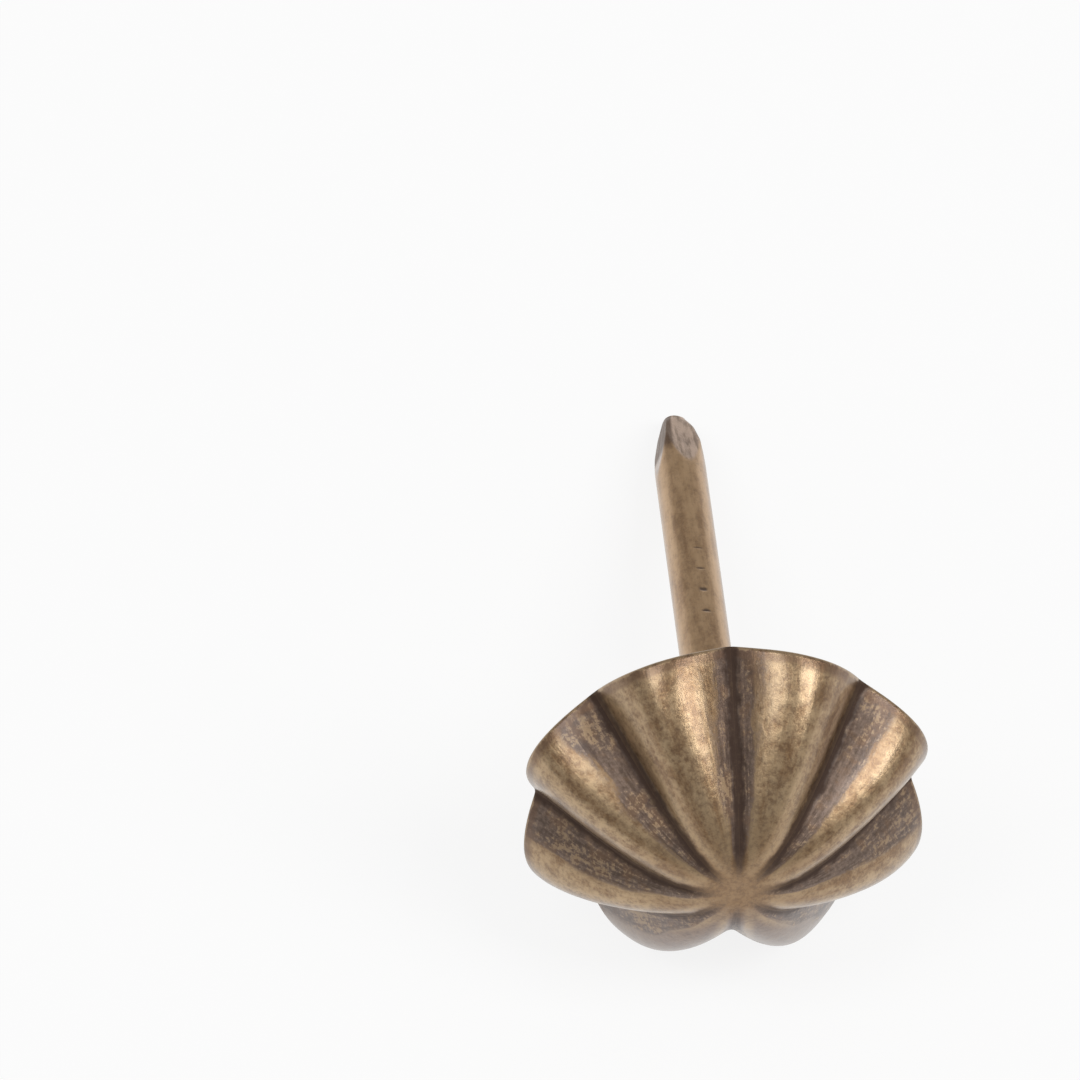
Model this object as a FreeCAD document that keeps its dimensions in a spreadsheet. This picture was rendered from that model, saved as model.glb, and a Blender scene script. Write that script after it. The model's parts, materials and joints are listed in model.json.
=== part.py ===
import FreeCAD, Part
import os
from math import cos, pi, sin

import Sketcher

V = FreeCAD.Vector

# Driving dimensions. Lengths in millimetres, turns and slopes in degrees.
# Heights are measured along the tack's axis from the plane of the lobe rims,
# positive towards the crown and negative towards the point.
SIZES = (
    ("head_across", 11.0, "across two opposite lobe crests at the rim"),
    ("head_rise", 3.36, "rim plane to the middle of the crown"),
    ("lobe_count", 8, "lobes pressed into the head"),
    ("crown_flat", 0.45, "radius of the smooth spot in the middle of the crown"),
    ("crown_reach", 2.15, "how far the crests run out level from the crown"),
    ("shoulder_reach", 4.75, "radius where a crest starts to roll over"),
    ("shoulder_rise", 1.51, "height where a crest starts to roll over"),
    ("valley_reach", 3.72, "radius where a groove starts to level out"),
    ("valley_rise", 0.41, "height where a groove starts to level out"),
    ("valley_rim_radius", 4.89, "radius of the rim at a groove"),
    ("valley_rim_drop", 0.68, "how far the rim at a groove hangs below the rim plane"),
    ("sheet_gauge", 0.45, "thickness of the pressed sheet at the rim"),
    ("land_radius", 1.25, "radius of the flat land inside the crown"),
    ("land_depth", 0.8, "crown to the flat land inside"),
    ("trough_reach", 2.8, "radius where the hollow under a crest would leave the land's level"),
    ("ridge_reach", 1.65, "radius where the ridge under a groove would leave the land's level"),
    ("wire_dia", 1.38, "diameter of the drawn wire"),
    ("nail_head_dia", 2.3, "diameter of the upset nail head"),
    ("nail_head_thick", 0.45, "thickness of the upset nail head"),
    ("neck_share", 0.6, "cone under the nail head, as a share of its overhang"),
    ("shank_drop", 14.3, "rim plane to the end of the point"),
    ("facet_count", 4, "flats pinched into the point"),
    ("facet_length", 2.25, "length of a flat along the wire"),
    ("point_half", 0.3, "axis to a flat at the very end"),
    ("blunt_radius", 0.35, "radius of the blunt end before its bevel"),
    ("blunt_length", 0.6, "length of the cone behind the blunt end"),
    ("blunt_bevel", 0.17, "bevel round the blunt end"),
    ("facet_turn", -16.2, "turn of the first flat about the axis"),
    ("nick_radius", 0.13, "radius of a gripper mark's section"),
    ("nick_depth", 0.05, "how deep a gripper mark is"),
    ("nick_first", 7.95, "end of the point to the gripper mark nearest the head"),
    ("nick_pitch", 0.79, "spacing of the gripper marks"),
    ("nick_count", 4, "gripper marks in the row"),
    ("nick_turn", 82.3, "turn of the row of marks about the axis"),
    ("cut_margin", 0.5, "how far a cutting outline runs past the wire"),
)

# The pose at rest, worked out below from the shapes themselves.
REST = ("rest_turn", "rest_shift", "rest_lift")

# How close two lengths are that count as the same, how many times the lean is
# halved and how many points stand in for an edge when the tack is laid down.
SAME_LENGTH = 1e-6
LEAN_HALVINGS = 60
EDGE_POINTS = 200

doc = FreeCAD.newDocument("UpholsteryTack")
sheet = doc.addObject("Spreadsheet::Sheet", "Sizes")
sheet.Label = "Sizes"


def fill_sheet():
    row = 1
    for alias, value, note in SIZES:
        sheet.set("A%d" % row, alias)
        sheet.set("B%d" % row, str(value))
        sheet.set("C%d" % row, note)
        sheet.setAlias("B%d" % row, alias)
        row += 1
    for alias in REST:
        sheet.set("A%d" % row, alias)
        sheet.set("B%d" % row, "0")
        sheet.setAlias("B%d" % row, alias)
        row += 1
    doc.recompute()


def size(alias):
    return float(sheet.get(alias))


def cell(alias):
    return "Sizes." + alias


# The head: one sheet pressed into lobes round a smooth crown. Outside, the crest
# of a lobe and the groove beside it each follow one cubic line in the plane of
# the axis. Every section from a groove to the next is a parabola over the crest.

def crest_line():
    """Control points of the outer crest: radius along X, height along Z."""
    rise = size("head_rise")
    return [V(size("crown_flat"), 0, rise), V(size("crown_reach"), 0, rise),
            V(size("shoulder_reach"), 0, size("shoulder_rise")), V(size("head_across") / 2, 0, 0)]


def groove_line():
    rise = size("head_rise")
    return [V(size("crown_flat"), 0, rise), V(size("crown_reach"), 0, rise),
            V(size("valley_reach"), 0, size("valley_rise")),
            V(size("valley_rim_radius"), 0, -size("valley_rim_drop"))]


def under(line, reach):
    """Control points of the line inside the sheet, from the flat land to the rim."""
    land = V(size("land_radius"), 0, size("head_rise") - size("land_depth"))
    falling = (line[3] - line[2]).normalize()
    inward = V(falling.z, 0, -falling.x) * size("sheet_gauge")
    return [land, V(reach, 0, land.z), line[3] + inward]


def turned(point, angle):
    return V(point.x * cos(angle), point.x * sin(angle), point.z)


def lobe_rows(crests, grooves):
    """Control points of one lobe: from a groove over the crest to the next groove."""
    pitch = 2 * pi / size("lobe_count")
    rows = []
    for crest, groove in zip(crests, grooves):
        start, end = turned(groove, 0), turned(groove, pitch)
        corner = turned(crest, pitch / 2) * 2 - (start + end) / 2
        rows.append((start, corner, end))
    return rows


def lobe_face(rows):
    surface = Part.BezierSurface()
    surface.increase(2, len(rows) - 1)
    for step, row in enumerate(rows):
        for place, point in enumerate(row):
            surface.setPole(place + 1, step + 1, point)
    return surface.toShape()


def section_edge(row):
    curve = Part.BezierCurve()
    curve.setPoles(list(row))
    return curve.toShape()


def around(shapes):
    """The same shapes once for each lobe."""
    copies = []
    count = int(size("lobe_count"))
    for index in range(count):
        for shape in shapes:
            copy = shape.copy()
            copy.rotate(V(0, 0, 0), V(0, 0, 1), 360.0 * index / count)
            copies.append(copy)
    return copies


def head_solid():
    crests, grooves = crest_line(), groove_line()
    outer = lobe_rows(crests, grooves)
    inner = lobe_rows(under(crests, size("trough_reach")), under(grooves, size("ridge_reach")))
    rim = Part.makeRuledSurface(section_edge(outer[-1]), section_edge(inner[-1]))
    faces = around([lobe_face(outer), lobe_face(inner), rim])
    for rows in (outer, inner):
        ring = around([section_edge(rows[0])])
        faces.append(Part.Face(Part.Wire(Part.__sortEdges__(ring))))
    shell = Part.Shell(faces)
    shell.sewShape()
    solid = Part.Solid(shell)
    if solid.Volume < 0:
        solid.reverse()
    return solid


def build_head():
    head = doc.addObject("Part::Feature", "head_cap")
    head.Label = "head_cap"
    head.Shape = head_solid()
    return head


# The nail: drawn wire with a small upset head and a pinched point.

def new_sketch(body, name, plane, turn=None):
    sketch = body.newObject("Sketcher::SketchObject", name)
    sketch.AttachmentSupport = [(body.Origin.getObject(plane), "")]
    sketch.MapMode = "FlatFace"
    if turn:
        about_axis = FreeCAD.Rotation(V(0, 1, 0), size(turn))
        sketch.AttachmentOffset = FreeCAD.Placement(V(0, 0, 0), about_axis)
        sketch.setExpression("AttachmentOffset.Rotation.Angle", cell(turn))
    return sketch


def dimension(sketch, kind, element, point, value, expression):
    """Ties one coordinate of a point to the sheet, measured from the origin."""
    index = sketch.addConstraint(Sketcher.Constraint(kind, -1, 1, element, point, value))
    sketch.setExpression("Constraints[%d]" % index, expression)


def outline(sketch, corners):
    """A closed outline of straight lines through corners bound to the sheet."""
    points = [V(x, y, 0) for x, y, across, up in corners]
    count = len(corners)
    for index in range(count):
        sketch.addGeometry(Part.LineSegment(points[index], points[(index + 1) % count]), False)
    for index in range(count):
        sketch.addConstraint(Sketcher.Constraint("Coincident", index, 2, (index + 1) % count, 1))
    for index, (x, y, across, up) in enumerate(corners):
        if across:
            dimension(sketch, "DistanceX", index, 1, x, across)
        else:
            sketch.addConstraint(Sketcher.Constraint("PointOnObject", index, 1, -2))
        dimension(sketch, "DistanceY", index, 1, y, up)


def circles_at(shape, radius, height):
    """Names of the round edges with this radius at this height."""
    names = []
    for index, edge in enumerate(shape.Edges):
        curve = edge.Curve
        if not isinstance(curve, Part.Circle):
            continue
        if max(abs(curve.Radius - radius), abs(curve.Center.z - height)) < SAME_LENGTH:
            names.append("Edge%d" % (index + 1))
    return names


def bevel(body, name, base, edges, expression):
    """Cuts a bevel along edges, its size an expression on the sheet."""
    feature = body.newObject("PartDesign::Chamfer", name)
    feature.Base = (base, edges)
    feature.setExpression("Size", expression)
    doc.recompute()
    return feature


def wire_blank(body):
    """Nail head and wire turned in one piece, with a blunt cone at the end."""
    wire, upset, blunt = size("wire_dia") / 2, size("nail_head_dia") / 2, size("blunt_radius")
    top = size("head_rise") - size("land_depth")
    brow = top - size("nail_head_thick")
    top_cell = "%s - %s" % (cell("head_rise"), cell("land_depth"))
    brow_cell = "%s - %s" % (top_cell, cell("nail_head_thick"))
    wire_cell, upset_cell = cell("wire_dia") + " / 2", cell("nail_head_dia") + " / 2"
    end, end_cell = -size("shank_drop"), "-" + cell("shank_drop")
    sketch = new_sketch(body, "BlankOutline", "XZ_Plane")
    outline(sketch, (
        (0, end, "", end_cell),
        (blunt, end, cell("blunt_radius"), end_cell),
        (wire, end + size("blunt_length"), wire_cell, "%s + %s" % (end_cell, cell("blunt_length"))),
        (wire, brow, wire_cell, brow_cell),
        (upset, brow, upset_cell, brow_cell),
        (upset, top, upset_cell, top_cell),
        (0, top, "", top_cell),
    ))
    turned_blank = body.newObject("PartDesign::Revolution", "Blank")
    turned_blank.Profile = sketch
    turned_blank.ReferenceAxis = (sketch, ["V_Axis"])
    turned_blank.Angle = 360
    doc.recompute()
    overhang = "(%s - %s) / 2" % (cell("nail_head_dia"), cell("wire_dia"))
    neck = bevel(body, "Neck", turned_blank, circles_at(turned_blank.Shape, wire, brow),
                 cell("neck_share") + " * " + overhang)
    bevel(body, "BluntEnd", neck, circles_at(neck.Shape, blunt, end), cell("blunt_bevel"))


def pinch_point(body):
    """Flats pinched round the end of the wire, leaving a blunt point."""
    half, wire, margin = cell("point_half"), cell("wire_dia") + " / 2", cell("cut_margin")
    slope = "((%s - %s) / %s)" % (wire, half, cell("facet_length"))
    near = "%s - %s * %s" % (half, margin, slope)
    far = "%s + %s * %s" % (wire, margin, slope)
    low = "-%s - %s" % (cell("shank_drop"), margin)
    high = "-%s + %s + %s" % (cell("shank_drop"), cell("facet_length"), margin)
    end, clear = -size("shank_drop"), size("cut_margin")
    sketch = new_sketch(body, "FlatOutline", "XZ_Plane", "facet_turn")
    outline(sketch, (
        (size("point_half"), end - clear, near, low),
        (size("wire_dia"), end - clear, far, low),
        (size("wire_dia"), end + size("facet_length") + clear, far, high),
    ))
    flat = body.newObject("PartDesign::Pocket", "Flat")
    flat.Profile = sketch
    flat.Midplane = True
    flat.Length = size("wire_dia") * 2
    flat.setExpression("Length", cell("wire_dia") + " * 2")
    doc.recompute()
    flats = body.newObject("PartDesign::PolarPattern", "Flats")
    flats.Originals = [flat]
    flats.Axis = (body.Origin.getObject("Z_Axis"), [""])
    flats.Angle = 360
    flats.setExpression("Occurrences", cell("facet_count"))
    body.Tip = flats
    doc.recompute()


def press_marks(body):
    """A row of short curved marks left across the wire by the gripping dies."""
    out = size("wire_dia") / 2 + size("nick_radius") - size("nick_depth")
    first = size("nick_first") - size("shank_drop")
    sketch = new_sketch(body, "MarkOutline", "XZ_Plane", "nick_turn")
    sketch.addGeometry(Part.Circle(V(out, first, 0), V(0, 0, 1), size("nick_radius")), False)
    radius = sketch.addConstraint(Sketcher.Constraint("Radius", 0, size("nick_radius")))
    sketch.setExpression("Constraints[%d]" % radius, cell("nick_radius"))
    dimension(sketch, "DistanceX", 0, 3, out,
              "%s / 2 + %s - %s" % (cell("wire_dia"), cell("nick_radius"), cell("nick_depth")))
    dimension(sketch, "DistanceY", 0, 3, first, "%s - %s" % (cell("nick_first"), cell("shank_drop")))
    mark = body.newObject("PartDesign::Pocket", "Mark")
    mark.Profile = sketch
    mark.Midplane = True
    mark.Length = size("wire_dia")
    mark.setExpression("Length", cell("wire_dia"))
    doc.recompute()
    marks = body.newObject("PartDesign::LinearPattern", "Marks")
    marks.Originals = [mark]
    marks.Direction = (body.Origin.getObject("Z_Axis"), [""])
    marks.Reversed = True
    marks.setExpression("Length", "%s * (%s - 1)" % (cell("nick_pitch"), cell("nick_count")))
    marks.setExpression("Occurrences", cell("nick_count"))
    body.Tip = marks
    doc.recompute()


def build_nail():
    body = doc.addObject("PartDesign::Body", "nail")
    body.Label = "nail"
    wire_blank(body)
    pinch_point(body)
    press_marks(body)
    return body


# The pose at rest: on its side, on the rims of two lobes and the point, with
# a groove straight down, the crown towards -Y and the point towards +Y.

def lowest(points, lean):
    return min(point.y * cos(lean) + point.z * sin(lean) for point in points)


def rest_lean(head_points, nail_points):
    """The lean at which the head and the point touch one floor."""
    low, high = 0.0, pi / 4
    for halving in range(LEAN_HALVINGS):
        lean = (low + high) / 2
        if lowest(head_points, lean) < lowest(nail_points, lean):
            low = lean
        else:
            high = lean
    return lean


def edge_points(shape):
    return [point for edge in shape.Edges for point in edge.discretize(EDGE_POINTS)]


def lay_down(head, nail):
    lean = rest_lean(edge_points(head.Shape), edge_points(nail.Shape))
    turn = 90 - lean * 180 / pi
    for part in (head, nail):
        part.Placement = FreeCAD.Placement(V(0, 0, 0), FreeCAD.Rotation(V(1, 0, 0), turn))
    doc.recompute()
    box = head.Shape.optimalBoundingBox(True)
    box.add(nail.Shape.optimalBoundingBox(True))
    for alias, value in zip(REST, (turn, -box.Center.y, -box.ZMin)):
        sheet.set(sheet.getCellFromAlias(alias), repr(value))
    for part in (head, nail):
        part.setExpression(".Placement.Rotation.Angle", cell("rest_turn"))
        part.setExpression(".Placement.Base.y", cell("rest_shift"))
        part.setExpression(".Placement.Base.z", cell("rest_lift"))
    doc.recompute()


def check_and_write(parts):
    for item in doc.Objects:
        if "Invalid" in item.State or "Error" in item.State:
            raise RuntimeError("%s did not build: %s" % (item.Name, item.State))
    os.makedirs("parts", exist_ok=True)
    for part in parts:
        if part.Shape.isNull() or not part.Shape.isValid():
            raise RuntimeError("%s has no valid shape" % part.Label)
        part.Shape.exportStep("parts/%s.step" % part.Label)
        box = part.Shape.optimalBoundingBox(True)
        print(part.Label, "volume %.3f" % part.Shape.Volume, "solids", len(part.Shape.Solids),
              "x %.3f %.3f y %.3f %.3f z %.3f %.3f"
              % (box.XMin, box.XMax, box.YMin, box.YMax, box.ZMin, box.ZMax))


fill_sheet()
head_cap = build_head()
nail_body = build_nail()
lay_down(head_cap, nail_body)
check_and_write((head_cap, nail_body))
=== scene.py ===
# %% [markdown]
# # An upholstery tack in antiqued brass
# The tack is a pressed, fluted head on a length of drawn wire. The packed
# model is the fixed frame, and each new piece is modelled over one of its
# two solids. Lengths are in millimetres in the tack's own upright frame,
# where the plane of the rims is at height zero, the crown is up and the
# point is down.

# %% Load the packed model
import json
from math import atan2, cos, degrees, pi, radians, sin, tau

import bpy
import numpy as np
from mathutils import Matrix, Vector


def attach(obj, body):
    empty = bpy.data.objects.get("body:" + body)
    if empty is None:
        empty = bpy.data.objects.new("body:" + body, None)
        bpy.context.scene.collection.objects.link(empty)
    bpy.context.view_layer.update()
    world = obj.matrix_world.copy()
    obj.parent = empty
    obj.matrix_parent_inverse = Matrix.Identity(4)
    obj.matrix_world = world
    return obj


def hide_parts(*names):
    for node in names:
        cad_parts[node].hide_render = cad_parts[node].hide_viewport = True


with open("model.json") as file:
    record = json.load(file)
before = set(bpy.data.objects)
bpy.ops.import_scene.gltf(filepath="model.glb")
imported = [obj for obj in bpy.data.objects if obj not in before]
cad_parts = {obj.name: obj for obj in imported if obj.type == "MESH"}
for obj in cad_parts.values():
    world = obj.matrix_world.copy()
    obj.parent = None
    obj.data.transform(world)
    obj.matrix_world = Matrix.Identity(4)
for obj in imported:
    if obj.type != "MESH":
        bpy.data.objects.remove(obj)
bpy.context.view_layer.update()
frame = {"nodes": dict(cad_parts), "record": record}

MM = 0.001

# %% [markdown]
# ## Where the tack lies
# The tack rests on the rims of two flutes and on its point, so its axis
# slopes. It could be turned by measured angles, but the record already
# states the axis, and the wire's end is the nail's farthest vertex along
# it. Together they give one matrix that lays down anything modelled upright.

# %% The upright frame
SHANK_DROP = 14.3
shank = frame["record"]["mounts"][0]
towards_point = Vector(shank["axis"]).normalized()
solid_points = np.array([v.co for v in frame["nodes"]["nail"].data.vertices])
end_along = float((solid_points @ np.array(towards_point)).max())
end_of_point = Vector(shank["pos_m"])
end_of_point += towards_point * (end_along - end_of_point.dot(towards_point))
rim_centre = end_of_point - towards_point * SHANK_DROP * MM
up = -towards_point
side = Vector((1, 0, 0))
turn = Matrix((side, up.cross(side), up)).transposed()
lay_down = Matrix.Translation(rim_centre) @ turn.to_4x4() @ Matrix.Scale(MM, 4)
print("axis slopes", round(degrees(atan2(-towards_point.z, towards_point.y)), 2), "degrees")

# %% [markdown]
# ## Camera
# The picture looks down on the tack from the crown's end with a long lens.
# It faces a spot 4 mm above the middle of the tack's footprint. Turning it
# aside would change the perspective, so the lens is shifted instead, which
# puts the spot where the picture has it.

# %% Camera
PICTURE = 1080
TARGET = Vector((0, 0, 4)) * MM
TARGET_ACROSS, TARGET_DOWN = 707.6, 641.9
PIXELS_PER_MM = 38.26
DISTANCE = 275 * MM
SENSOR = 36
AZIMUTH, ELEVATION, ROLL = radians(-11.9), radians(63.1), radians(8.2)


def direction(azimuth, elevation):
    """One step outwards; azimuth 0 is the crown's side and 90 degrees is +x."""
    return Vector((sin(azimuth) * cos(elevation), -cos(azimuth) * cos(elevation), sin(elevation)))


def into_scene(name, data):
    made = bpy.data.objects.new(name, data)
    bpy.context.scene.collection.objects.link(made)
    return made


back = direction(AZIMUTH, ELEVATION)
level = Vector((cos(AZIMUTH), sin(AZIMUTH), 0))
across = cos(ROLL) * level + sin(ROLL) * back.cross(level)
lens = bpy.data.cameras.new("photo_camera")
lens.sensor_width = SENSOR
lens.lens = lens.sensor_width * PIXELS_PER_MM / MM * DISTANCE / PICTURE
lens.shift_x = 0.5 - TARGET_ACROSS / PICTURE
lens.shift_y = TARGET_DOWN / PICTURE - 0.5
lens.clip_start, lens.clip_end = DISTANCE / 100, DISTANCE * 20
camera = into_scene("photo_camera", lens)
camera.matrix_world = (Matrix.Translation(TARGET + back * DISTANCE)
                       @ Matrix((across, back.cross(across), back)).transposed().to_4x4())
bpy.context.scene.camera = camera
print("lens", round(lens.lens, 1), "mm")

# %% [markdown]
# ## Sockets that do sums
# Nodes can be wired one by one, but a tree reads best as a formula. `Socket`
# wraps one output and turns + - * / into Math nodes. `Graph.node` adds any
# other node. The same two classes serve the shaders and Geometry Nodes.

# %% Graph and Socket
class Socket:
    def __init__(self, graph, socket):
        self.graph, self.socket = graph, socket

    def apply(self, operation, *values):
        inputs = dict(enumerate((self,) + values))
        return self.graph.node("ShaderNodeMath", {"operation": operation}, inputs)

    def __add__(self, other):
        return self.apply("ADD", other)

    def __sub__(self, other):
        return self.apply("SUBTRACT", other)

    def __rsub__(self, other):
        return (self * -1) + other

    def __mul__(self, other):
        return self.apply("MULTIPLY", other)

    def __truediv__(self, other):
        return self.apply("DIVIDE", other)

    __radd__, __rmul__ = __add__, __mul__

    def at_least(self, other):
        return self.apply("MAXIMUM", other)

    def at_most(self, other):
        return self.apply("MINIMUM", other)

    def within(self, low=0.0, high=1.0):
        return self.at_least(low).at_most(high)

    def rise(self, start, stop):
        """0 below start, 1 above stop, and smooth between them."""
        return self.graph.node("ShaderNodeMapRange", {"interpolation_type": "SMOOTHSTEP"},
                               {"Value": self, "From Min": start, "From Max": stop})


class Graph:
    def __init__(self, tree):
        self.tree = tree

    def node(self, kind, settings, inputs, output=0):
        """A new node with these settings, and with links or numbers put in."""
        made = self.tree.nodes.new(kind)
        for name, value in settings.items():
            setattr(made, name, value)
        for name, value in inputs.items():
            if isinstance(value, Socket):
                self.tree.links.new(value.socket, made.inputs[name])
            else:
                made.inputs[name].default_value = value
        return None if output is None else Socket(self, made.outputs[output])

    def mix(self, factor, first, second):
        """A blend of two colours."""
        return self.node("ShaderNodeMix", {"data_type": "RGBA"}, {0: factor, 6: first, 7: second}, 2)

    def vector(self, operation, *values):
        return self.node("ShaderNodeVectorMath", {"operation": operation}, dict(enumerate(values)))


print("sums:", [name for name in vars(Socket) if not name.startswith("_")])

# %% [markdown]
# ## Shader coordinates
# Wear on the real tack follows its axis: along the flutes of the head and
# along the wire. It could be painted on unwrapped faces, but noise in the
# tack's upright frame needs no seams. A Mapping node undoes the matrix that
# laid the tack down. The pieces carry what else the finish needs as
# attributes on their points.

# %% Coordinates and attributes
def upright(graph):
    """Object coordinates turned back to the upright frame, in millimetres."""
    back_turn = turn.transposed()
    place = graph.node("ShaderNodeTexCoord", {}, {}, "Object")
    return graph.node("ShaderNodeMapping", {}, {
        "Vector": place, "Location": -(back_turn @ rim_centre) / MM,
        "Rotation": back_turn.to_euler(), "Scale": (1 / MM, 1 / MM, 1 / MM)})


def attribute(graph, name):
    return graph.node("ShaderNodeAttribute", {"attribute_name": name}, {}, "Fac")


def sideways(graph, place):
    parts = graph.node("ShaderNodeSeparateXYZ", {}, {0: place}).socket.node.outputs
    return Socket(graph, parts["X"]), Socket(graph, parts["Y"])


def noise(graph, place, scale, detail=3.0, roughness=0.55, stretch=(1, 1, 1)):
    stretched = graph.vector("MULTIPLY", place, stretch)
    return graph.node("ShaderNodeTexNoise", {}, {
        "Vector": stretched, "Scale": scale, "Detail": detail, "Roughness": roughness})


print("textures run in millimetres, upright")

# %% Lines that run outwards
NEAR_AXIS = 0.3
FAN_ROUND, FAN_OUT = 10, 0.5


def from_axis(graph, place):
    """Both sideways distances from the tack's axis, and the whole one."""
    x, y = sideways(graph, place)
    return x, y, (x * x + y * y).apply("SQRT").at_least(NEAR_AXIS)


def rubbed_lines(graph, place, fineness):
    """Fine lines that run outwards from the axis, as tumbling leaves them."""
    x, y, radius = from_axis(graph, place)
    fanned = graph.node("ShaderNodeCombineXYZ", {}, {
        0: x / radius * FAN_ROUND, 1: y / radius * FAN_ROUND, 2: radius * FAN_OUT})
    return noise(graph, fanned, fineness, 4.0, 0.62)


print("lines fan out from", NEAR_AXIS, "mm off the axis")

# %% A metal with layers
METALLIC = 0.85


def new_material(name):
    material = bpy.data.materials.new(name)
    material.use_nodes = True
    material.node_tree.nodes.clear()
    return material, Graph(material.node_tree)


def layered(graph, color, layers):
    """The colour with each layer laid over it in turn."""
    for amount, over in layers:
        color = graph.mix(amount, color, over)
    return color


def finish_material(graph, relief, deepest, inputs):
    """A metal shader with fine relief, wired to the output."""
    normal = graph.node("ShaderNodeBump", {}, {"Height": relief, "Distance": deepest})
    metal = graph.node("ShaderNodeBsdfPrincipled", {}, {"Normal": normal, **inputs})
    graph.node("ShaderNodeOutputMaterial", {}, {"Surface": metal}, None)


print("finishes are", METALLIC, "metallic")

# %% [markdown]
# ## Antiqued brass of the head
# An antiqued tack is brass that is blackened all over and then tumbled. The
# dark skin stays in the grooves and on the flanks, and wears through to gold
# on the crests. One noise alone would put the wear anywhere, so the finish
# starts from masks that know the shape: how far a place is from its groove,
# and how far round the flute. The noises only make their edges ragged.
# Some masks paint light and shade as well: extra painted shade on the
# flanks that face one side and on the lobes that face down, a painted
# highlight along each groove, and a painted shade band with a painted
# highlight at the rim.

# %% Noises of the head
LINES_START = 0.7, 2.2


def cap_noises(graph, place):
    """Broad clouds, a mottle, specks and two sets of rubbed lines."""
    away = from_axis(graph, place)[2].rise(*LINES_START)
    return {
        "cloud": noise(graph, place, 0.6, 3.0),
        "mottle": noise(graph, place, 2.4, 4.0, 0.6),
        "speck": noise(graph, place, 9.0, 4.0, 0.7),
        "comb": (rubbed_lines(graph, place, 1.0) - 0.5) * away + 0.5,
        "scratch": (rubbed_lines(graph, place, 4.0) - 0.5) * away + 0.5}


print("rubbed lines start", LINES_START[0], "mm from the axis")

# %% Where the skin stays, with painted shade and highlights
CROWN_END = 0.35, 1.4
FLANK_START, UNDER_SHADE_START, INSIDE_START = (0.66, 0.8), (0.55, 0.9), (0.6, 1.0)
GROOVE_DARK = 0.06, 0.2
GROOVE_HIGHLIGHT_START, GROOVE_HIGHLIGHT_END = (0.15, 0.26), (0.3, 0.62)
BRIGHT_START = 1.0, 3.0
RIM_SHADE_BAND, RIM_HIGHLIGHT_EDGE = (0.935, 0.96), (0.985, 0.995)


def cap_masks(graph, place, noises):
    """Shares from 0 to 1, one for each part of a flute."""
    x, y, radius = from_axis(graph, place)
    groove, bend = attribute(graph, "groove_gap"), attribute(graph, "bend")
    swing = {name: value - 0.5 for name, value in noises.items()}
    flute = (radius + swing["mottle"] * 0.8).rise(*CROWN_END)
    # Near the grooves the flanks keep dark patina. The second term adds painted shade, so flanks facing
    # one side come out darker than those facing the other.
    steep = bend.apply("ABSOLUTE") + bend * x / radius * 0.45
    steep = steep + swing["cloud"] * 0.7 + swing["comb"] * 0.7 + swing["speck"] * 0.3
    # Painted shade: the lobes that face down as the tack lies are made taupe, in place of their dim
    # grazing reflection.
    under = (y / radius * -1).rise(*UNDER_SHADE_START) * flute
    dark = 1 - (groove + swing["mottle"] * 0.2).rise(*GROOVE_DARK)
    inside = attribute(graph, "underside").rise(*INSIDE_START)
    run_out = attribute(graph, "run_out") + swing["mottle"] * 0.06 + swing["speck"] * 0.03
    return {
        "flank": steep.rise(*FLANK_START) * flute,
        "under": under,
        # Dark patina in the grooves, lightened on the down-facing lobes as part of their painted shade.
        "groove": dark * flute * (1 - under * 0.7),
        # Painted highlight: a light band a little way out from each groove, where the steep side
        # reflects the white floor.
        "line": groove.rise(*GROOVE_HIGHLIGHT_START) * (1 - groove.rise(*GROOVE_HIGHLIGHT_END)) * flute,
        "bright": radius.rise(*BRIGHT_START) * 0.7 + 0.3,
        "inside": inside,
        # Painted shade: a darker band just inside the rim, where an edge turning away from the light
        # would be.
        "rolled": run_out.rise(*RIM_SHADE_BAND) * (1 - inside),
        # Painted highlight: a light line along the very edge of the rim.
        "lip": run_out.rise(*RIM_HIGHLIGHT_EDGE) * (1 - inside)}


print("grooves are dark for", GROOVE_DARK[1], "mm to each side")

# %% Colours of the head
DARK_SKIN = (0.088, 0.056, 0.043, 1)
BROWN_SKIN_AND_SHADE = (0.17, 0.092, 0.052, 1)
TAUPE_SKIN_AND_SHADE = (0.22, 0.155, 0.125, 1)
OLD_BRASS = (0.27, 0.152, 0.066, 1)
WORN_BRASS_AND_SHEEN = (0.50, 0.35, 0.20, 1)


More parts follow.
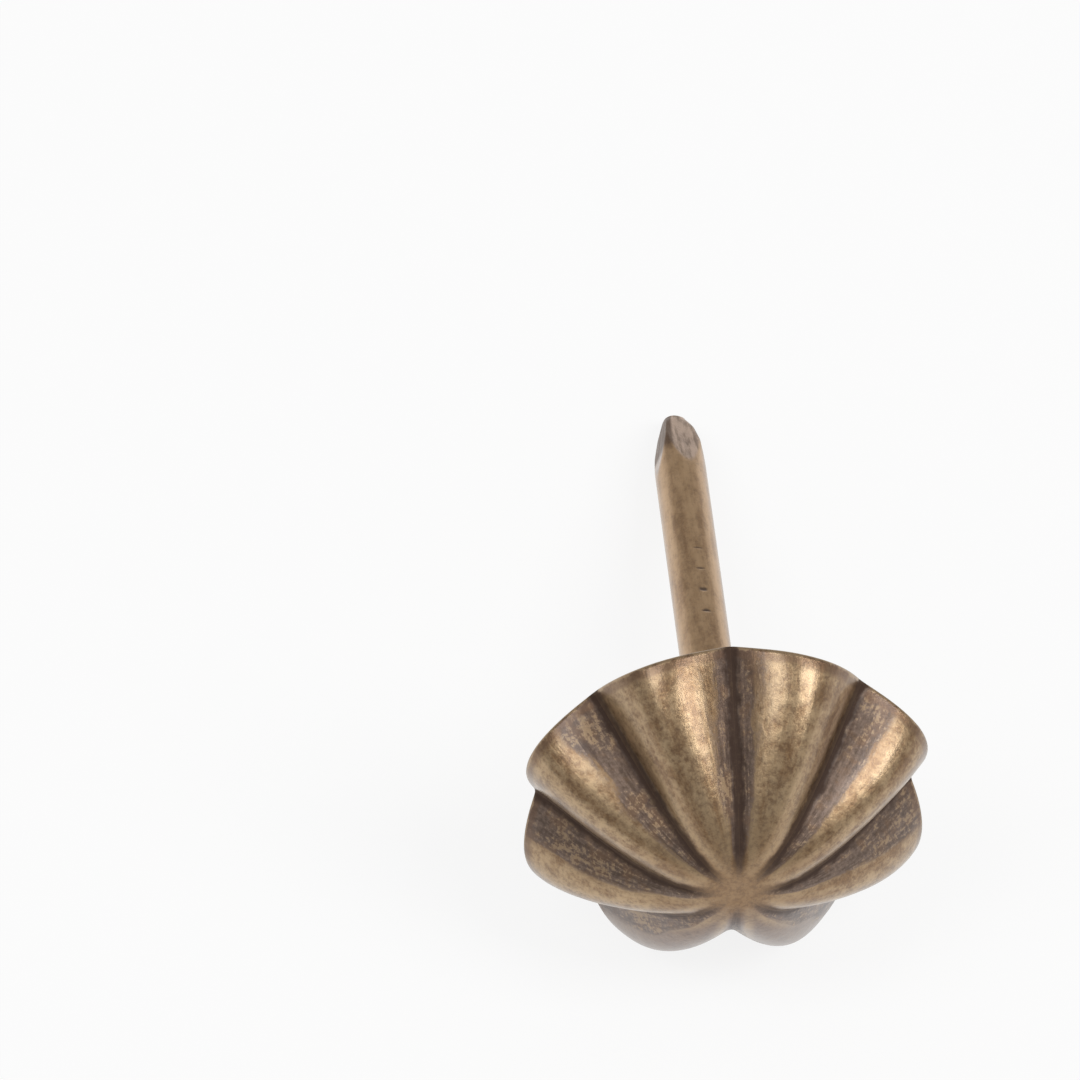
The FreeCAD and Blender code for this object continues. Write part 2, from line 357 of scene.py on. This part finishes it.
def cap_color(graph, noises, masks):
    """Brass with its skin, flecks and grain laid over it, and with painted shade and highlights."""
    cloud, mottle, speck, comb, scratch = noises.values()
    grey = (comb * 0.35 + scratch * 0.4 + speck * 0.25).rise(0.4, 0.58)
    brown = (mottle * 0.6 + cloud * 0.4).rise(0.48, 0.62)
    skin = layered(graph, DARK_SKIN, ((grey, TAUPE_SKIN_AND_SHADE), (brown * 0.7, BROWN_SKIN_AND_SHADE)))
    worn = (comb * 0.4 + mottle * 0.4 + speck * 0.2).rise(0.38, 0.6) * masks["bright"]
    fleck = (speck * 0.45 + scratch * 0.4 + cloud * 0.3 - 0.07).rise(0.53, 0.6)
    grain = 1 - (speck * 0.7 + mottle * 0.3).rise(0.38, 0.56)
    return layered(graph, OLD_BRASS, (
        (worn, WORN_BRASS_AND_SHEEN),
        # Painted shade on the lobes that face down.
        (masks["under"] * 0.8, TAUPE_SKIN_AND_SHADE),
        # Painted highlight along the grooves.
        (masks["line"] * (0.35 + comb * 0.5), WORN_BRASS_AND_SHEEN),
        # Dark patina on the flanks, with painted shade on the flanks that face one side.
        (masks["flank"] * 0.9, skin),
        (masks["flank"] * fleck * 0.55, WORN_BRASS_AND_SHEEN),
        (grain * 0.32, DARK_SKIN),
        (masks["inside"] * (mottle * 0.5 + 0.35), TAUPE_SKIN_AND_SHADE),
        # Painted shade in a band inside the rim, then a painted highlight on its very edge.
        (masks["rolled"] * 0.6, BROWN_SKIN_AND_SHADE),
        (masks["lip"] * 0.6, WORN_BRASS_AND_SHEEN),
        (masks["groove"] * 0.85, DARK_SKIN)))


print("worn brass is", WORN_BRASS_AND_SHEEN[:3])

# %% Head finish
CAP_RELIEF = 0.018 * MM


def make_cap_brass():
    material, graph = new_material("cap_brass_worn")
    place = upright(graph)
    noises = cap_noises(graph, place)
    masks = cap_masks(graph, place, noises)
    cloud, mottle, speck, comb, scratch = noises.values()
    relief = mottle * 0.5 + speck * 0.4 + comb * 0.6 + scratch * 0.3 + cloud
    dull = masks["flank"] * 0.1 + masks["groove"] * 0.3 + masks["inside"] * 0.1
    finish_material(graph, relief, CAP_RELIEF, {
        "Base Color": cap_color(graph, noises, masks), "Metallic": METALLIC,
        "Roughness": 0.3 + speck * 0.12 + dull,
        "Coat Weight": (1 - masks["groove"]) * (1 - masks["inside"]) * 0.7,
        "Coat Roughness": 0.25})
    return material


cap_brass = make_cap_brass()
print("head finish has", len(cap_brass.node_tree.nodes), "nodes")

# %% [markdown]
# ## Antiqued brass of the wire
# The wire was drawn through a die, so its wear runs in long faint streaks
# along it. It has less dark skin than the head. The flats at the point were
# pinched after the drawing, so they are paler and scored, and the dies left
# dark marks. One side of the point is darker. Noises stretched along the
# axis give the streaks, and three attributes on the mesh say where the
# flats, the darker side of the point and the marks are.

# %% Wire finish
DRAWN_BRASS = (0.38, 0.222, 0.105, 1)
RUBBED_BRASS = (0.58, 0.38, 0.21, 1)
FLAT_BRASS = (0.53, 0.39, 0.31, 1)
POINT_DARK_BROWN = (0.15, 0.095, 0.065, 1)
WIRE_RELIEF = 0.014 * MM
LONG, SHORT = (1, 1, 0.12), (1, 1, 0.5)


def make_wire_brass():
    material, graph = new_material("wire_brass_worn")
    place = upright(graph)
    streak = noise(graph, place, 2.6, 4.0, 0.6, LONG)
    mottle = noise(graph, place, 3.2, 4.0, 0.65, SHORT)
    speck = noise(graph, place, 11.0, 4.0, 0.7)
    scored = noise(graph, place, 7.0, 3.0, 0.6, LONG).rise(0.36, 0.6)
    rubbed = (streak * 0.6 + mottle * 0.5 - 0.05).rise(0.3, 0.65)
    grain = 1 - (speck * 0.5 + mottle * 0.3 + streak * 0.2).rise(0.38, 0.54)
    # The "skin" attribute darkens one side of the point.
    skin = attribute(graph, "skin") * (0.6 + scored * 0.3)
    color = layered(graph, DRAWN_BRASS, (
        (rubbed, RUBBED_BRASS),
        (attribute(graph, "flat") * 0.75, graph.mix(scored, POINT_DARK_BROWN, FLAT_BRASS)),
        (skin, POINT_DARK_BROWN),
        (grain * 0.25, DARK_SKIN),
        (attribute(graph, "mark").rise(0.0, 0.6) * 0.85, DARK_SKIN)))
    finish_material(graph, streak + mottle * 0.5 + speck * 0.2, WIRE_RELIEF, {
        "Base Color": color, "Metallic": METALLIC,
        "Roughness": 0.3 + mottle * 0.12 + skin * 0.2,
        "Coat Weight": 0.7 - skin * 0.6, "Coat Roughness": 0.2})
    return material


wire_brass = make_wire_brass()
print("wire finish has", len(wire_brass.node_tree.nodes), "nodes")

# %% [markdown]
# ## The fluted head
# The real head is pressed from one disc of sheet brass, and the dies fold it
# into eight equal flutes. It could be sculpted, but its grooves have to meet
# the solid's. So one flute is a formula on a grid, with the solid's measures,
# and Geometry Nodes turn eight copies of it. Down the grid runs the whole
# section of the sheet: crown, outer line, rim, inner line and land. Across
# it runs the arch from one groove to the next.

# %% Sizes of the head
HEAD = {
    "Lobes": 8, "Head Across": 11.0, "Head Rise": 3.36, "Crown Flat": 0.45,
    "Crown Reach": 2.15, "Shoulder Reach": 4.75, "Shoulder Rise": 1.51,
    "Valley Reach": 3.72, "Valley Rise": 0.41, "Valley Rim Radius": 4.89,
    "Valley Rim Drop": 0.68, "Sheet Gauge": 0.45, "Land Radius": 1.25,
    "Land Depth": 0.8, "Trough Reach": 2.8, "Ridge Reach": 1.65,
    "Groove Round": 0.15, "Rim Round": 0.05, "Hand Wobble": 0.03,
}
ROWS = {"crown": 4, "outer": 70, "rim": 9, "inner": 28, "land": 3}
ALL_ROWS, COLUMNS = sum(ROWS.values()), 52
print("a flute has", ALL_ROWS * COLUMNS * 2, "triangles")


# %% Curves of the section
def cubic(t, a, b, c, d):
    s = 1 - t
    return s * s * s * a + s * s * t * 3 * b + s * t * t * 3 * c + t * t * t * d


def quadratic(t, a, b, c):
    s = 1 - t
    return s * s * a + s * t * 2 * b + t * t * c


def rim_inner(radius, drop, near_radius, near_height, gauge):
    """The inner edge of the rim: square to the outer line's end, one gauge in."""
    run, fall = radius - near_radius, near_height + drop
    length = (run * run + fall * fall).apply("SQRT")
    return radius - fall / length * gauge, drop * -1 - run / length * gauge


print("sections are cubic outside and quadratic inside")


# %% Crest and groove, outside and inside
def section_lines(size):
    """Two pairs of functions of t; each gives a radius and a height."""
    rise = size["Head Rise"]
    land = rise - size["Land Depth"]
    crest_end = (size["Half Across"], rise * 0, size["Shoulder Reach"], size["Shoulder Rise"])
    groove_end = (size["Valley Rim Radius"], size["Valley Rim Drop"],
                  size["Valley Reach"], size["Valley Rise"])

    def outer(radius, drop, near_radius, near_height):
        return lambda t: (
            cubic(t, size["Crown Flat"], size["Crown Reach"], near_radius, radius),
            cubic(t, rise, rise, near_height, drop * -1))

    def inner(end, reach):
        radius, height = rim_inner(*end, size["Sheet Gauge"])
        return lambda t: (
            quadratic(t, size["Land Radius"], reach, radius),
            quadratic(t, land, land, height))

    return ((outer(*crest_end), outer(*groove_end)),
            (inner(crest_end, size["Trough Reach"]), inner(groove_end, size["Ridge Reach"])))


print("each side of the sheet has a crest line and a groove line")


# %% The arch of a flute
def arch(t, bend, half_pitch, crest, groove):
    """A point of the arch between two grooves: outwards, sideways and up.

    bend runs from -1 to 1 across the flute, and crest and groove are
    functions of t that give the radius and the height of those lines.
    """
    crest_radius, crest_height = crest(t)
    groove_radius, groove_height = groove(t)
    chord = groove_radius * half_pitch.apply("COSINE")
    lift = 1 - bend * bend
    out = chord + (crest_radius - chord) * lift
    aside = groove_radius * half_pitch.apply("SINE") * bend
    return out, aside, groove_height + (crest_height - groove_height) * lift


def polar(point):
    """The same point as a radius, a height and an angle."""
    out, aside, height = point
    return (out * out + aside * aside).apply("SQRT"), height, aside.apply("ARCTAN2", out)


print("a flute is", COLUMNS, "columns wide")

# %% Round groove bottoms
WIDEST_GAP = 0.9


def rounded_bend(across, gap):
    """The same bend held back near a groove, so that the groove has a round bottom."""
    room = 1 - across.apply("ABSOLUTE")
    left = 1 - (room / gap).at_most(1)
    return (1 - room - gap * 0.5 * left * left).at_least(0) * across.apply("SIGN")


def sheet_point(size, across, lines, t):
    """Radius, height and angle of a point on one side of the sheet."""
    half_pitch = size["Half Pitch"]
    crest, groove = lines
    half_width = groove(t)[0] * half_pitch.apply("SINE")
    gap = (size["Groove Round"] / half_width).at_most(WIDEST_GAP)
    radius, height = polar(arch(t, rounded_bend(across, gap), half_pitch, crest, groove))[:2]
    angle = polar(arch(t, across, half_pitch, crest, groove))[2]
    return [radius, height, angle]


print("grooves are rounded over", HEAD["Groove Round"], "mm to each side")

# %% Round rim
RIM_POWER = 8.0


def blend(first, second, share):
    return [a + (b - a) * share for a, b in zip(first, second)]


def section_point(size, across, share):
    """A point of the whole section, from the outer line over the rim to the inner line.

    Both lines stop a little short of the rim, and the rim swells between them.
    """
    outer, inner = section_lines(size)
    stop = 1 - size["Rim Round"] / size["Half Across"]

    def between(outer_t, inner_t):
        return blend(sheet_point(size, across, outer, outer_t),
                     sheet_point(size, across, inner, inner_t), share["rim"])

    point = between(share["outer"] * stop, (1 - share["inner"]) * stop)
    whole, short = between(1.0, 1.0), between(stop, stop)
    swell = 1 - (share["rim"] * 2 - 1).apply("ABSOLUTE").apply("POWER", RIM_POWER)
    return [a + (b - c) * swell for a, b, c in zip(point, whole, short)]


print("the rim is", HEAD["Sheet Gauge"], "mm thick")


# %% Grid of one flute
def flute_grid(graph):
    """A flat grid, its columns from -1 to 1 and its rows as shares of each stretch."""
    grid = graph.node("GeometryNodeMeshGrid", {}, {
        "Size X": 1.0, "Size Y": 1.0, "Vertices X": COLUMNS + 1, "Vertices Y": ALL_ROWS + 1})
    x, y = sideways(graph, graph.node("GeometryNodeInputPosition", {}, {}))
    across = (x * -pi).apply("SINE")
    row = (y + 0.5) * ALL_ROWS
    share, begin = {}, 0
    for name, count in ROWS.items():
        share[name] = ((row - begin) / count).within()
        begin += count
    return grid, across, share


print("rows of a flute:", ROWS)

# %% One flute with its marks
CROWN_CLEAR = 0.4


def make_flute(graph, size):
    """One flute; the finish reads its marks, which are stored before it is bent."""
    flute, across, share = flute_grid(graph)
    radius, height, angle = section_point(size, across, share)
    radius = radius * share["crown"] * (1 - share["land"])
    gap = (1 - across.apply("ABSOLUTE")) * radius * size["Half Pitch"]
    marks = {"groove_gap": gap + (1 - share["crown"]) * CROWN_CLEAR, "bend": across,
             "run_out": share["outer"], "underside": share["rim"]}
    for name, value in marks.items():
        flute = graph.node("GeometryNodeStoreNamedAttribute",
                           {"data_type": "FLOAT", "domain": "POINT"},
                           {"Geometry": flute, "Name": name, "Value": value})
    position = graph.node("ShaderNodeCombineXYZ", {}, {
        0: radius * angle.apply("COSINE"), 1: radius * angle.apply("SINE"), 2: height})
    return graph.node("GeometryNodeSetPosition", {}, {"Geometry": flute, "Position": position})


print("the crown counts as", CROWN_CLEAR, "mm clear of a groove")

# %% A ring of flutes with a wobble
SEAM_REACH = 0.002
DENT_SCALE, DENT_MIDDLE = 0.55, 0.3


def ring_of(graph, flute, size):
    """Copies of the flute, turned about the axis and merged at the grooves."""
    posts = graph.node("GeometryNodeMeshLine", {"mode": "OFFSET"}, {
        "Count": size["Lobes"], "Offset": (0, 0, 0)})
    index = graph.node("GeometryNodeInputIndex", {}, {})
    spin = graph.node("ShaderNodeCombineXYZ", {}, {2: (index * 2 + 1) * size["Half Pitch"]})
    ring = graph.node("GeometryNodeInstanceOnPoints", {}, {
        "Points": posts, "Instance": flute, "Rotation": spin})
    ring = graph.node("GeometryNodeRealizeInstances", {}, {"Geometry": ring})
    return graph.node("GeometryNodeMergeByDistance", {}, {"Geometry": ring, "Distance": SEAM_REACH})


def wobbled(graph, ring, size):
    """The ring with broad dents, mostly inwards, as no two pressed flutes are the same."""
    where = graph.node("GeometryNodeInputPosition", {}, {})
    push = (noise(graph, where, DENT_SCALE, 2.0, 0.5) - DENT_MIDDLE) * size["Hand Wobble"] * -1
    shift = graph.vector("SCALE", graph.node("GeometryNodeInputNormal", {}, {}))
    graph.tree.links.new(push.socket, shift.socket.node.inputs["Scale"])
    return graph.node("GeometryNodeSetPosition", {}, {"Geometry": ring, "Offset": shift})


print("dents are at most", round((1 - DENT_MIDDLE) * HEAD["Hand Wobble"], 3), "mm deep")


# %% The tree of the head
def open_tree(name, values):
    """An empty tree with these numbers and a finish as its inputs."""
    tree = bpy.data.node_groups.new(name, "GeometryNodeTree")
    for label, value in values.items():
        kind = "NodeSocketInt" if isinstance(value, int) else "NodeSocketFloat"
        given = tree.interface.new_socket(label, in_out="INPUT", socket_type=kind)
        given.default_value = value
    tree.interface.new_socket("Finish", in_out="INPUT", socket_type="NodeSocketMaterial")
    tree.interface.new_socket("Geometry", in_out="OUTPUT", socket_type="NodeSocketGeometry")
    return tree


def head_tree():
    graph = Graph(open_tree("fluted_head", HEAD))
    given = graph.tree.nodes.new("NodeGroupInput")
    size = {name: Socket(graph, given.outputs[name]) for name in HEAD}
    size["Half Pitch"] = size["Lobes"].apply("POWER", -1.0) * pi
    size["Half Across"] = size["Head Across"] * 0.5
    ring = ring_of(graph, make_flute(graph, size), size)
    ring = wobbled(graph, ring, size)
    ring = graph.node("GeometryNodeSetShadeSmooth", {}, {"Geometry": ring})
    ring = graph.node("GeometryNodeSetMaterial", {}, {
        "Geometry": ring, "Material": Socket(graph, given.outputs["Finish"])})
    graph.node("NodeGroupOutput", {}, {"Geometry": ring}, None)
    return graph.tree


fluted_head = head_tree()
print("the head's tree has", len(fluted_head.nodes), "nodes")

# %% [markdown]
# ## From tree to mesh
# A modifier could stay on the object, but a finished mesh is easier to hand
# on. So the tree runs on an empty carrier, and its evaluated mesh is copied
# as a plain one. The matrix lays that down, so the object stays at the origin.

# %% Make the head
def run_tree(name, tree, values, finish):
    carrier = into_scene(name + "_carrier", bpy.data.meshes.new(name + "_carrier"))
    modifier = carrier.modifiers.new(name, "NODES")
    modifier.node_group = tree
    for item in tree.interface.items_tree:
        if item.in_out == "INPUT":
            modifier[item.identifier] = {**values, "Finish": finish}[item.name]
    graph = bpy.context.evaluated_depsgraph_get()
    mesh = bpy.data.meshes.new_from_object(carrier.evaluated_get(graph))
    bpy.data.objects.remove(carrier)
    mesh.name = name
    mesh.transform(lay_down)
    return into_scene(name, mesh)


fluted_cap = run_tree("fluted_cap", fluted_head, HEAD, cap_brass)
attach(fluted_cap, "root")
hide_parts("head_cap")
print("head:", len(fluted_cap.data.polygons), "faces")

# %% [markdown]
# ## The nail
# The real nail is drawn wire. One end is upset into a small head, and two
# pairs of dies pinch four flats into the other. Boolean cuts would leave
# razor edges. Every section across it is nearly round, so the mesh is a stack
# of rings, and one function gives the radius at any angle and height.

# %% Sizes of the nail
WIRE_RADIUS = 0.69
UPSET_RADIUS, UPSET_THICK, EDGE_ROUND = 1.15, 0.45, 0.06
NECK = 0.6 * (UPSET_RADIUS - WIRE_RADIUS)
TOP = HEAD["Head Rise"] - HEAD["Land Depth"]
BROW = TOP - UPSET_THICK
RING_POINTS, RING_STEP = 112, 0.06
print("nail is", round(TOP + SHANK_DROP, 2), "mm long")

# %% Gripper marks
MARK_FIRST, MARK_PITCH, MARK_DEPTH = 7.95, 0.79, 0.05
MARK_HALF_TALL, MARK_HALF_WIDE, MARK_TURN = 0.055, 0.16, radians(82.3)
MARK_STRENGTH = 0.9, 1.0, 0.6, 0.5


def mark_depth(angle, above_end):
    """How deep the gripper marks are, from 0 to 1."""
    deep = np.zeros_like(angle)
    for count, strength in enumerate(MARK_STRENGTH):
        tall = (above_end - (MARK_FIRST - count * MARK_PITCH)) / MARK_HALF_TALL
        wide = (np.mod(angle - MARK_TURN + pi, tau) - pi) * WIRE_RADIUS / MARK_HALF_WIDE
        deep = np.maximum(deep, strength * np.clip(1 - tall ** 2 - wide ** 2, 0, 1))
    return deep


print("marks:", len(MARK_STRENGTH), "of uneven depth, the deepest", MARK_DEPTH, "mm")

# %% Flats of the point
FLATS, FLAT_LENGTH, FLAT_TURN = 4, 2.25, radians(-16.2)
POINT_HALF, FLAT_EDGE, LEAST_FACING = 0.3, 0.03, 0.2


def flat_radius(angle, above_end, count):
    """How far out this flat is, all round the wire."""
    facing = np.cos(angle - FLAT_TURN - count * tau / FLATS)
    slope = (WIRE_RADIUS - POINT_HALF) / FLAT_LENGTH
    return (POINT_HALF + slope * above_end) / np.maximum(facing, LEAST_FACING)


def on_flat(angle, above_end, count):
    """1 where this flat has cut the wire, fading out over its edges."""
    return np.clip((WIRE_RADIUS - flat_radius(angle, above_end, count)) / FLAT_EDGE, 0, 1)


print("flats slope by", round(degrees(atan2(WIRE_RADIUS - POINT_HALF, FLAT_LENGTH)), 1), "degrees")

# %% The darker side of the point
DARK_SIDE_START, DARK_SIDE_STOP, DARK_SIDE_REACH = radians(104), radians(225), 1.75
DARK_SIDE_FADE_ROUND, DARK_SIDE_FADE_UP = 0.1, 0.3


def dark_side(angle, above_end):
    """1 on one side of the point near its end, which the finish makes darker."""
    round_wire = np.mod(angle, tau)
    beyond = np.clip((round_wire - DARK_SIDE_START) / DARK_SIDE_FADE_ROUND, 0, 1) * (round_wire < DARK_SIDE_STOP)
    return beyond * np.clip((DARK_SIDE_REACH - above_end) / DARK_SIDE_FADE_UP, 0, 1)


print("skin reaches", DARK_SIDE_REACH, "mm up from the end")

# %% Radius of the wire at any place
BLUNT_RADIUS, BLUNT_LENGTH, CONE_SLOPE, CONE_EDGE = 0.35, 0.16, 0.58, 0.05


def soft_least(first, second, width):
    """The smaller of two lengths, with the corner between them rounded."""
    near = np.clip(0.5 + 0.5 * (second - first) / width, 0, 1)
    return second + (first - second) * near - width * near * (1 - near)


def wire_radius(angle, height):
    """The wire cut by its flats, by the cone and dome of its end and by the marks."""
    above_end = height + SHANK_DROP
    radius = np.full_like(angle, WIRE_RADIUS)
    for count in range(FLATS):
        radius = soft_least(flat_radius(angle, above_end, count), radius, FLAT_EDGE)
    depth = np.clip(above_end / BLUNT_LENGTH, 0, 1)
    dome = BLUNT_RADIUS * np.sqrt(1 - (1 - depth) ** 2)
    dome = dome + CONE_SLOPE * np.maximum(above_end - BLUNT_LENGTH, 0)
    radius = soft_least(dome, radius, CONE_EDGE)
    return np.maximum(radius, 0) - MARK_DEPTH * mark_depth(angle, above_end)


print("wire is", 2 * WIRE_RADIUS, "mm across")

# %% Rings of the nail
EDGE_STEPS, DOME_STEPS = 4, 16


def head_rings():
    """Heights and radii from the middle of the upset head down to the wire."""
    rings = [(TOP, UPSET_RADIUS * share) for share in (0.3, 0.6, 0.8)]
    bends = [step / EDGE_STEPS * pi / 2 for step in range(EDGE_STEPS + 1)]
    for bend in bends:
        rings.append((TOP - EDGE_ROUND * (1 - cos(bend)), UPSET_RADIUS - EDGE_ROUND * (1 - sin(bend))))
    for bend in bends:
        rings.append((BROW + EDGE_ROUND * (1 - sin(bend)), UPSET_RADIUS - EDGE_ROUND * (1 - cos(bend))))
    return rings + [(BROW, WIRE_RADIUS + NECK)]


def wire_heights():
    """Heights down the wire, closer together round the dome of its end."""
    neck_end = BROW - NECK
    steps = round((neck_end + SHANK_DROP) / RING_STEP)
    bends = [step / DOME_STEPS * pi / 2 for step in range(1, DOME_STEPS)]
    dome = [BLUNT_LENGTH * (1 - sin(bend)) - SHANK_DROP for bend in bends]
    return list(np.linspace(neck_end, BLUNT_LENGTH - SHANK_DROP, steps)) + dome


print("nail has", len(head_rings()) + len(wire_heights()), "rings")


# %% Points and faces of the nail
def nail_points():
    angles = np.arange(RING_POINTS) * tau / RING_POINTS
    rings = [(height, np.full_like(angles, radius)) for height, radius in head_rings()]
    for height in wire_heights():
        rings.append((height, wire_radius(angles, np.full_like(angles, height))))
    points = [(0, 0, TOP)]
    for height, radius in rings:
        points += zip(radius * np.cos(angles), radius * np.sin(angles), np.full_like(angles, height))
    return points + [(0, 0, -SHANK_DROP)]


def nail_faces(last):
    """A fan at each end and a band of squares between two rings."""
    faces = []
    for spot in range(RING_POINTS):
        after = (spot + 1) % RING_POINTS
        faces.append((0, 1 + spot, 1 + after))
        for top in range(1, last - RING_POINTS, RING_POINTS):
            low = top + RING_POINTS
            faces.append((top + spot, low + spot, low + after, top + after))
        low = last - RING_POINTS
        faces.append((low + spot, last, low + after))
    return faces


print("each ring has", RING_POINTS, "points")


# %% Make the nail
def nail_wear(mesh):
    """Attributes that tell the finish where the marks, the flats and the darker side of the point are.
    """
    above_end = np.array([v.co.z for v in mesh.vertices]) + SHANK_DROP
    angle = np.array([atan2(v.co.y, v.co.x) for v in mesh.vertices])
    flats = [on_flat(angle, above_end, count) for count in range(FLATS)]
    wear = {"mark": mark_depth(angle, above_end), "flat": np.max(flats, axis=0),
            "skin": dark_side(angle, above_end)}
    for name, values in wear.items():
        mesh.attributes.new(name, "FLOAT", "POINT").data.foreach_set("value", values)


def make_nail():
    mesh = bpy.data.meshes.new("drawn_nail")
    points = nail_points()
    mesh.from_pydata(points, [], nail_faces(len(points) - 1))
    mesh.shade_smooth()
    nail_wear(mesh)
    mesh.materials.append(wire_brass)
    mesh.transform(lay_down)
    return into_scene("drawn_nail", mesh)


drawn_nail = make_nail()
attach(drawn_nail, "root")
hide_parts("nail")
print("nail:", len(drawn_nail.data.polygons), "faces")

# %% [markdown]
# ## Floor and light
# The picture has a white ground and soft light. Many lamps could give that,
# but a white floor does it by itself, because the metal picks up its white
# from below. Two narrow soft boxes over the tack draw the streaks along the
# flutes, since broad ones would blur them. Floor and lamps are in metres.

# %% Floor
FLOOR_HALF, FLOOR_GRAIN, FLOOR_WHITE = 0.6, 900.0, 0.85


def make_card():
    """A card that shows nearly pure white to the camera and in the metal."""
    material, graph = new_material("white_card")
    place = graph.node("ShaderNodeTexCoord", {}, {}, "Object")
    grain = noise(graph, place, FLOOR_GRAIN, 2.0, 0.5)
    color = graph.mix(grain, (0.93, 0.93, 0.93, 1), (0.96, 0.96, 0.96, 1))
    card = graph.node("ShaderNodeBsdfDiffuse", {}, {"Color": color})
    white = graph.node("ShaderNodeEmission", {}, {"Strength": 1.0})
    seen = sum(graph.node("ShaderNodeLightPath", {}, {}, ray)
               for ray in ("Is Camera Ray", "Is Glossy Ray", "Is Transmission Ray"))
    shown = graph.node("ShaderNodeMixShader", {}, {
        0: seen.at_most(1) * FLOOR_WHITE, 1: card, 2: white})
    graph.node("ShaderNodeOutputMaterial", {}, {"Surface": shown}, None)
    return material


def make_floor():
    mesh = bpy.data.meshes.new("floor")
    corners = ((-1, -1), (1, -1), (1, 1), (-1, 1))
    mesh.from_pydata([(x * FLOOR_HALF, y * FLOOR_HALF, 0) for x, y in corners], [], [(0, 1, 2, 3)])
    mesh.materials.append(make_card())
    return into_scene("floor", mesh)


make_floor()
print("floor laid at height 0")

# %% Light
LAMP_DISTANCE, WORLD_STRENGTH = 0.5, 0.4
LAMPS = {
    "left_box": {"azimuth": -83, "elevation": 60, "width": 0.15, "length": 0.28, "power": 0.5},
    "right_box": {"azimuth": 75, "elevation": 53, "width": 0.16, "length": 0.34, "power": 0.95},
}


def soft_box(name, azimuth, elevation, width, length, power):
    """A lamp that faces the tack from this direction."""
    lamp = bpy.data.lights.new(name, "AREA")
    lamp.shape = "RECTANGLE"
    lamp.size, lamp.size_y, lamp.energy = width, length, power
    away = direction(radians(azimuth), radians(elevation))
    facing = away.to_track_quat("Z", "Y").to_matrix().to_4x4()
    into_scene(name, lamp).matrix_world = Matrix.Translation(TARGET + away * LAMP_DISTANCE) @ facing


for name, values in LAMPS.items():
    soft_box(name, **values)
world = bpy.data.worlds.new("studio")
world.use_nodes = True
sky = world.node_tree.nodes["Background"].inputs
sky["Color"].default_value = (1, 1, 1, 1)
sky["Strength"].default_value = WORLD_STRENGTH
bpy.context.scene.world = world
bpy.context.scene.view_settings.view_transform = "Standard"
print("lamps:", list(LAMPS))
